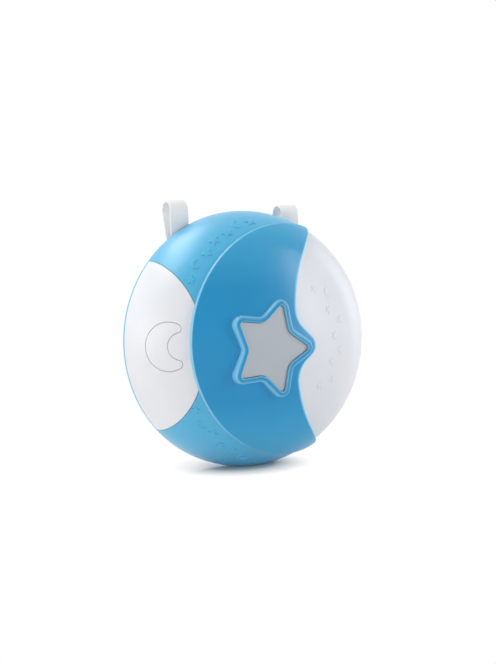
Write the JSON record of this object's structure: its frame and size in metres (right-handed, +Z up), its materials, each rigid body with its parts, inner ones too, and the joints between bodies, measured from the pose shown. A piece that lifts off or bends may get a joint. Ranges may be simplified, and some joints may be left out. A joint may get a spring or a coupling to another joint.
{
  "type": "night light",
  "caption": "Round domed child's night light with a star push button, a crescent push button, a light dome and webbing hanging loops.",
  "frame": {"origin": "middle of the standing flat, under the rim band", "axes": "+Z up, -Y out of the dome's front, +X to the right seen from the front"},
  "size_m": [0.2, 0.093, 0.209],
  "materials": {
    "blue_body": "satin moulded, fine texture",
    "blue_cover": "satin gloss moulded",
    "white_panel": "satin gloss moulded",
    "white_light": "translucent, frosted inside",
    "silver_star": "satin silver paint",
    "webbing": "woven tape",
    "closure": "hook and loop",
    "steel": "zinc plated",
    "grey_rubber": "moulded silicone",
    "circuit_board": "solder mask",
    "black_plastic": "moulded",
    "lamp": "clear epoxy",
    "cell": "plain sleeve",
    "contact": "plated leaf",
    "cone_paper": "pressed pulp",
    "magnet": "ferrite"
  },
  "bodies": {
    "housing": {"rear_housing": "blue_body", "front_housing": "blue_body", "moon_panel": "white_panel", "light_dome": "white_light", "center_cover": "blue_cover", "cover_screws": "steel", "housing_screws": "steel", "star_return_pad": "grey_rubber", "star_switch": "black_plastic", "star_board": "circuit_board", "star_board_screws": "steel", "moon_return_pads": "grey_rubber", "moon_switch": "black_plastic", "moon_board": "circuit_board", "moon_board_screws": "steel", "main_board": "circuit_board", "main_board_parts": "black_plastic", "main_board_screws": "steel", "led_board": "circuit_board", "leds": "lamp", "led_board_screws": "steel", "speaker_basket": "steel", "speaker_magnet": "magnet", "speaker_cone": "cone_paper", "speaker_screws": "steel", "battery_cells": "cell", "battery_contacts": "contact", "battery_door": "blue_body", "battery_door_screw": "steel", "slide_switch": "black_plastic", "slide_switch_screws": "steel", "strap_bar_left": "steel", "strap_bar_right": "steel"},
    "star_key": {"star_button": "silver_star", "star_clip": "steel", "star_plunger": "black_plastic"},
    "moon_key": {"moon_button": "white_panel", "moon_plunger": "black_plastic"},
    "power_knob": {"power_slider": "white_panel"},
    "left_strap": {"strap_left": "webbing", "left_strap_patch": "closure"},
    "right_strap": {"strap_right": "webbing", "right_strap_patch": "closure"}
  },
  "joints": [
    {"name": "star_press", "type": "slide", "parent": "housing", "child": "star_key", "axis": [0, 1, 0], "range_m": [0, 0.0015], "stiffness_N_per_m": 1500, "deforming": ["star_return_pad"]},
    {"name": "moon_press", "type": "slide", "parent": "housing", "child": "moon_key", "axis": [0.624, 0.7814, 0], "range_m": [0, 0.001], "stiffness_N_per_m": 1500, "deforming": ["moon_return_pads"]},
    {"name": "power_slide", "type": "slide", "parent": "housing", "child": "power_knob", "axis": [0, 0, 1], "range_m": [-0.003, 0.003]},
    {"name": "strap_left_swing", "type": "hinge", "parent": "housing", "child": "left_strap", "pos_m": [-0.0482, 0.0066, 0.169], "axis": [-1, 0, 0], "range_deg": [0, 90]},
    {"name": "strap_right_swing", "type": "hinge", "parent": "housing", "child": "right_strap", "pos_m": [0.0482, 0.0066, 0.169], "axis": [-1, 0, 0], "range_deg": [0, 90]}
  ]
}
